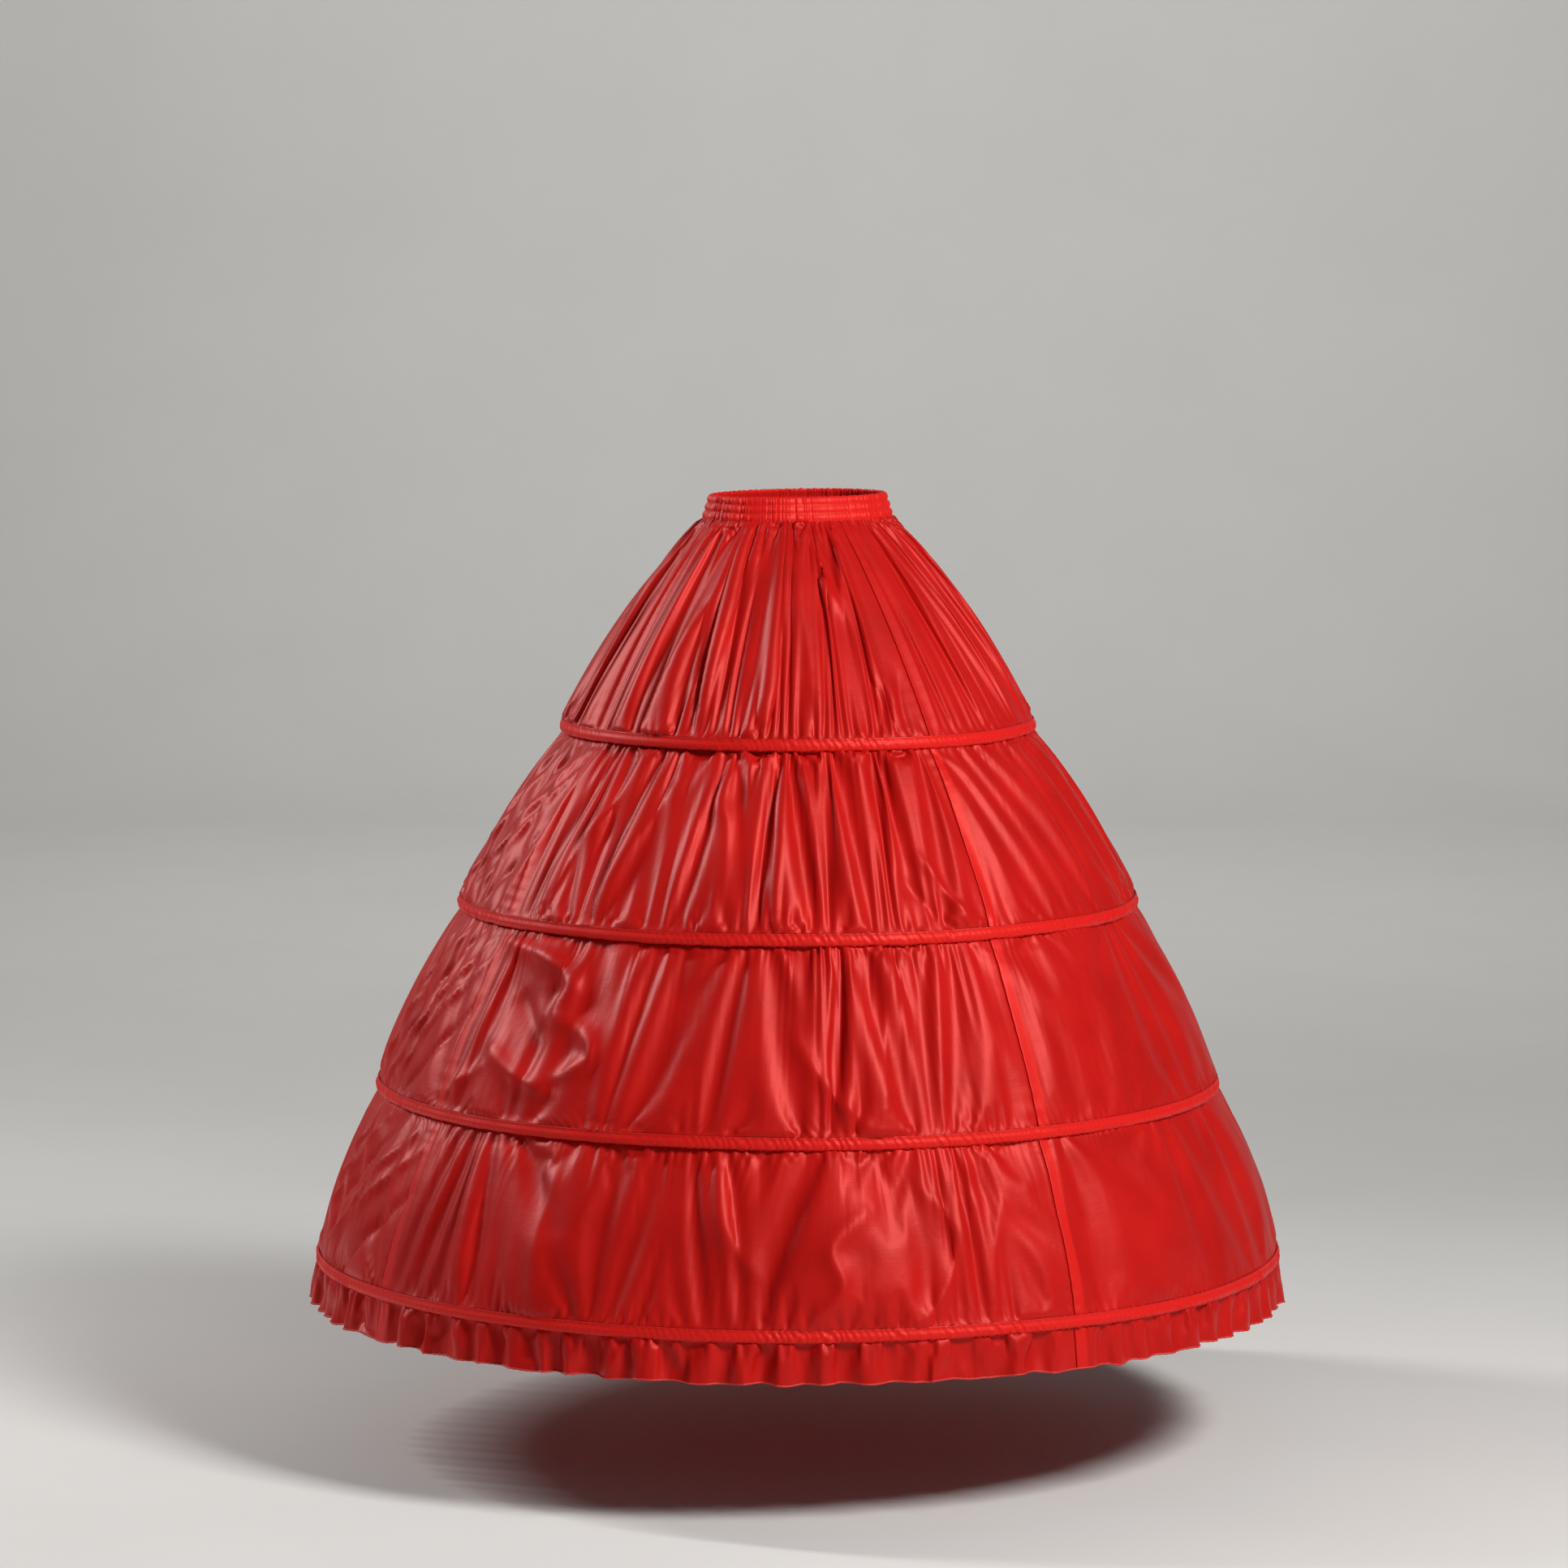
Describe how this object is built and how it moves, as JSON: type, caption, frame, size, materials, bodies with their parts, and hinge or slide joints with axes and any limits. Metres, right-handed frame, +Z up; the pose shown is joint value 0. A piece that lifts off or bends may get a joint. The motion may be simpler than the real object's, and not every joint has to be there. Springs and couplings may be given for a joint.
{
  "type": "hooped petticoat",
  "caption": "Tiered taffeta hoop petticoat on an elastic waistband, with steel hoops in sewn casings and a ruffled hem, worn to hold a full skirt out in a cone.",
  "frame": {"origin": "centre of the waist opening, at the top edge of the waistband", "axes": "+Z up along the wearer's body, front towards -Y, the wearer's right towards -X"},
  "size_m": [1.22, 1.22, 1.007],
  "materials": {
    "taffeta": "crisp glossy red woven taffeta",
    "casing_taffeta": "doubled red taffeta, pressed and stitched",
    "elastic": "matt knitted white elastic",
    "hoop_steel": "white plastic coating on flat spring steel",
    "joiner_metal": "plated, pressed flat"
  },
  "bodies": {
    "root": {"waistband": "taffeta", "waist_elastic_upper": "elastic", "waist_elastic_middle": "elastic", "waist_elastic_lower": "elastic", "tier_1_front_right": "taffeta", "tier_1_front_left": "taffeta", "tier_1_back_left": "taffeta", "tier_1_back_right": "taffeta", "tier_2_front_right": "taffeta", "tier_2_front_left": "taffeta", "tier_2_back_left": "taffeta", "tier_2_back_right": "taffeta", "tier_3_front_right": "taffeta", "tier_3_front_left": "taffeta", "tier_3_back_left": "taffeta", "tier_3_back_right": "taffeta", "tier_4_front_right": "taffeta", "tier_4_front_left": "taffeta", "tier_4_back_left": "taffeta", "tier_4_back_right": "taffeta", "ruffle_front_right": "taffeta", "ruffle_front_left": "taffeta", "ruffle_back_left": "taffeta", "ruffle_back_right": "taffeta", "hoop_casing_1": "casing_taffeta", "hoop_1": "hoop_steel", "hoop_joiner_1": "joiner_metal", "hoop_casing_2": "casing_taffeta", "hoop_2": "hoop_steel", "hoop_joiner_2": "joiner_metal", "hoop_casing_3": "casing_taffeta", "hoop_3": "hoop_steel", "hoop_joiner_3": "joiner_metal", "hoop_casing_4": "casing_taffeta", "hoop_4": "hoop_steel", "hoop_joiner_4": "joiner_metal"}
  },
  "joints": []
}
